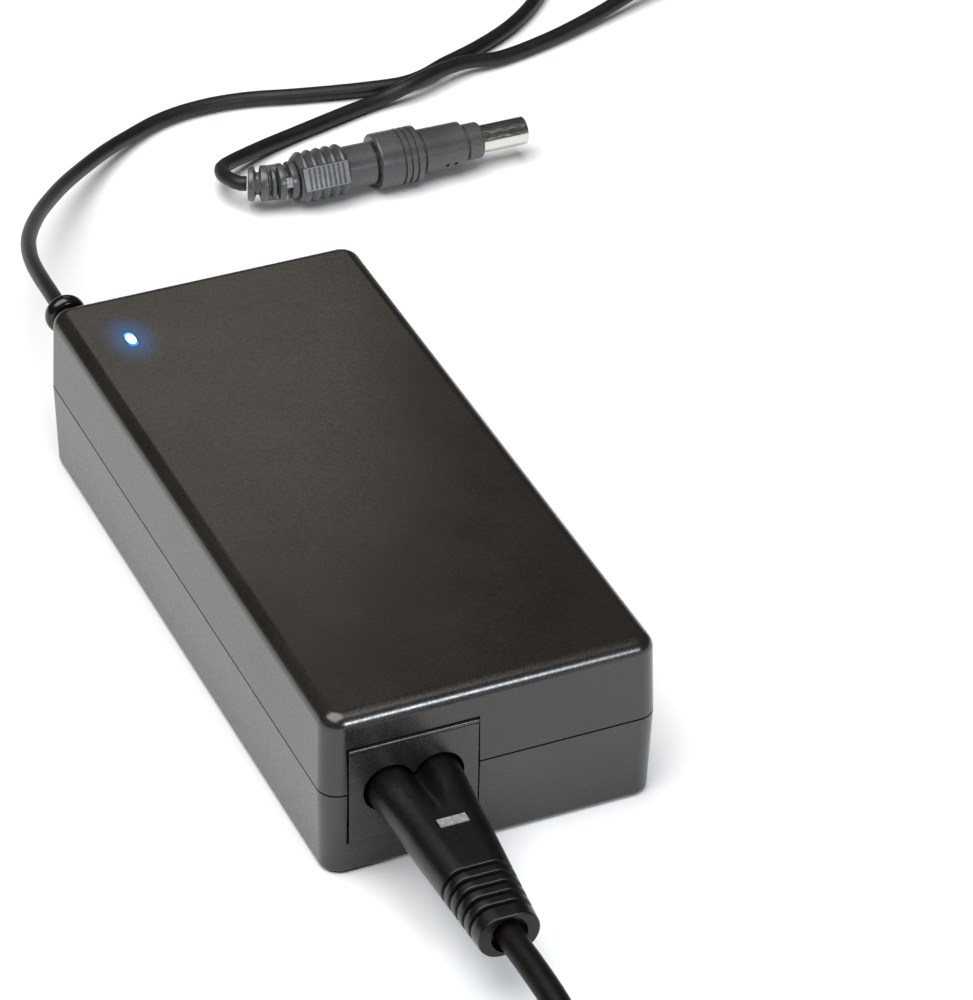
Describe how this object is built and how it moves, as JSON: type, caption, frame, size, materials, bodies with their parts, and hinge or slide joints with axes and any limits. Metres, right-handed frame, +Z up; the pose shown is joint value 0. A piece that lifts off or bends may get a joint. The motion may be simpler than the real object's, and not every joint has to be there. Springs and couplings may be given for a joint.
{
  "type": "laptop power adapter",
  "caption": "Black laptop power adapter with a pull-out mains lead and a low-voltage lead that ends in a barrel connector with a pull-off tip.",
  "frame": {"origin": "centre of the case's base, on the surface it lies on", "axes": "+Y along the case from the mains inlet to the low-voltage exit, +X across the case, +Z up"},
  "size_m": [0.2078, 0.4502, 0.031],
  "materials": {
    "case_plastic": "satin black moulded plastic, fine texture",
    "label_film": "matt black film, bare",
    "inlet_plastic": "matt black moulded plastic",
    "lamp_window": "clear moulded light pipe",
    "nickel": "bright nickel plate",
    "brass": "bare brass contacts",
    "cord_jacket": "satin black flexible jacket",
    "moulded_rubber": "matt black moulding",
    "connector_plastic": "satin black moulding",
    "insulator": "black insulator",
    "board": "green glass-fibre board",
    "insulation_film": "grey insulation sheet",
    "aluminium": "bare sheet aluminium",
    "ferrite": "dark grey ferrite",
    "winding": "enamelled copper wire",
    "winding_tape": "yellow winding tape",
    "capacitor_sleeve": "dark shrink sleeve",
    "filter_box": "yellow box capacitor",
    "disc_ceramic": "blue dipped ceramic",
    "epoxy": "black moulded epoxy",
    "lamp": "clear lamp"
  },
  "bodies": {
    "adapter": {"lower_shell": "case_plastic", "upper_shell": "case_plastic", "rating_label": "label_film", "inlet_housing": "inlet_plastic", "light_pipe": "lamp_window", "inlet_pin_left": "nickel", "inlet_pin_right": "nickel", "connector_barrel": "nickel", "connector_inner_sleeve": "brass", "dc_cord_out": "cord_jacket", "dc_coil": "cord_jacket", "dc_cord_return": "cord_jacket", "dc_strain_relief": "moulded_rubber", "dc_coil_tie": "moulded_rubber", "connector_strain_relief": "connector_plastic", "connector_grip": "connector_plastic", "connector_insulator": "insulator", "main_board": "board", "insulation_sheet": "insulation_film", "heat_spreader": "aluminium", "primary_heat_sink": "aluminium", "secondary_heat_sink": "aluminium", "choke_core": "ferrite", "transformer_core": "ferrite", "choke_winding_left": "winding", "choke_winding_right": "winding", "output_choke": "winding", "transformer_winding": "winding_tape", "bulk_capacitor": "capacitor_sleeve", "output_capacitor_a": "capacitor_sleeve", "output_capacitor_b": "capacitor_sleeve", "fuse": "capacitor_sleeve", "filter_capacitor": "filter_box", "safety_capacitor": "disc_ceramic", "bridge_rectifier": "epoxy", "switching_transistor": "epoxy", "output_rectifier": "epoxy", "controller_chip": "epoxy", "optocoupler": "epoxy", "indicator_led": "lamp"},
    "connector_tip": {"tip_body": "connector_plastic", "tip_pin": "brass", "tip_barrel": "nickel", "tip_insulator": "insulator", "tip_inner_sleeve": "brass"},
    "mains_lead": {"mains_plug": "moulded_rubber", "mains_plug_sleeve_left": "brass", "mains_plug_sleeve_right": "brass", "mains_cord_out": "cord_jacket", "mains_coil": "cord_jacket", "mains_coil_tie": "moulded_rubber", "mains_cord_end": "cord_jacket", "wall_plug_body": "moulded_rubber", "wall_plug_pin_left": "nickel", "wall_plug_pin_right": "nickel"}
  },
  "joints": [
    {"name": "mains_lead_pull", "type": "slide", "parent": "adapter", "child": "mains_lead", "axis": [0, -1, 0], "range_m": [0, 0.013]},
    {"name": "tip_pull", "type": "slide", "parent": "adapter", "child": "connector_tip", "axis": [1, 0, 0], "range_m": [0, 0.01]}
  ]
}
